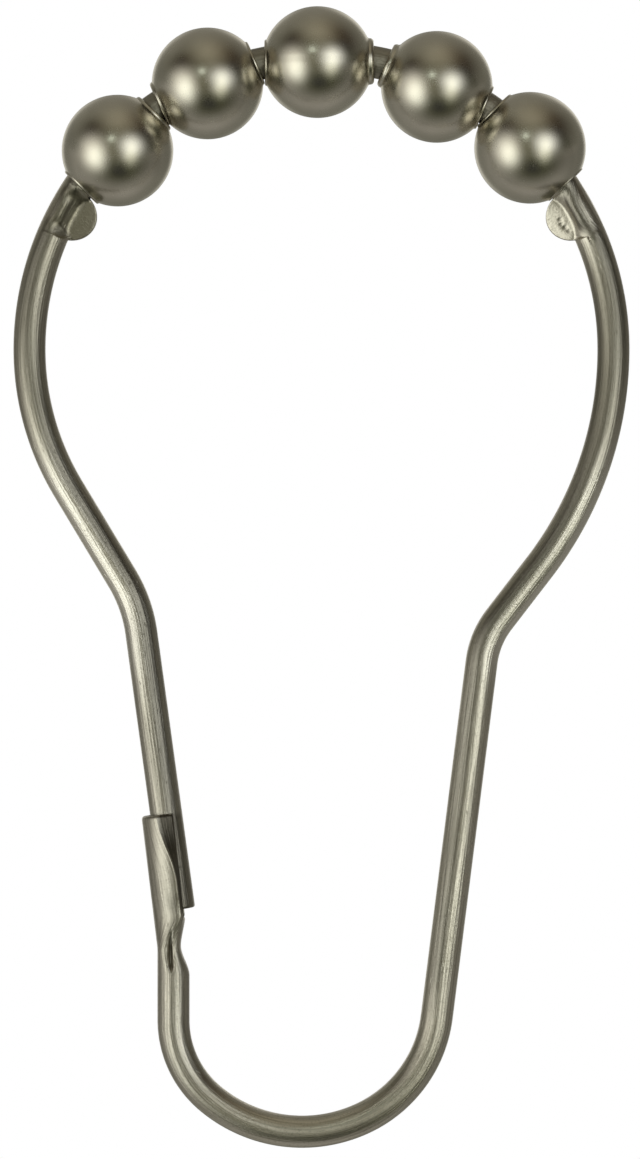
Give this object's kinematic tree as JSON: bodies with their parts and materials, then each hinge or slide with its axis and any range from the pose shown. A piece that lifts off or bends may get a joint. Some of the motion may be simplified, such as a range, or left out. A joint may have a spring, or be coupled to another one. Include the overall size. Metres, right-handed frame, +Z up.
{
  "type": "shower curtain hook",
  "caption": "Bent wire shower curtain hook: hollow roller beads on a round top ring, a necked body, a curtain loop at the bottom and a folded clasp that grips the free leg.",
  "frame": {"origin": "rod seat: the lowest point of the middle bead, where the hook rides on the curtain rod", "axes": "+Z up along the hanging hook, +X to the right seen from the front, +Y away from the viewer, through the hook's thickness"},
  "size_m": [0.0422, 0.0076, 0.0782],
  "materials": {
    "wire": "satin",
    "beads": "satin"
  },
  "bodies": {
    "frame": {"wire_frame": "wire"},
    "bead_1": {"roller_bead_1": "beads"},
    "bead_2": {"roller_bead_2": "beads"},
    "bead_3": {"roller_bead_3": "beads"},
    "bead_4": {"roller_bead_4": "beads"},
    "bead_5": {"roller_bead_5": "beads"}
  },
  "joints": [
    {"name": "bead_1_roll", "type": "hinge", "parent": "frame", "child": "bead_1", "pos_m": [-0.01397, 0, -0.00223], "axis": [0.6977, 0, 0.7164], "continuous": true},
    {"name": "bead_2_roll", "type": "hinge", "parent": "frame", "child": "bead_2", "pos_m": [-0.00781, 0, 0.00237], "axis": [0.9191, 0, 0.394], "continuous": true},
    {"name": "bead_3_roll", "type": "hinge", "parent": "frame", "child": "bead_3", "pos_m": [-0.00028, 0, 0.00383], "axis": [0.9999, 0, 0.014], "continuous": true},
    {"name": "bead_4_roll", "type": "hinge", "parent": "frame", "child": "bead_4", "pos_m": [0.0079, 0, 0.00213], "axis": [0.9155, 0, -0.4024], "continuous": true},
    {"name": "bead_5_roll", "type": "hinge", "parent": "frame", "child": "bead_5", "pos_m": [0.01428, 0, -0.00204], "axis": [0.6948, 0, -0.7192], "continuous": true}
  ]
}
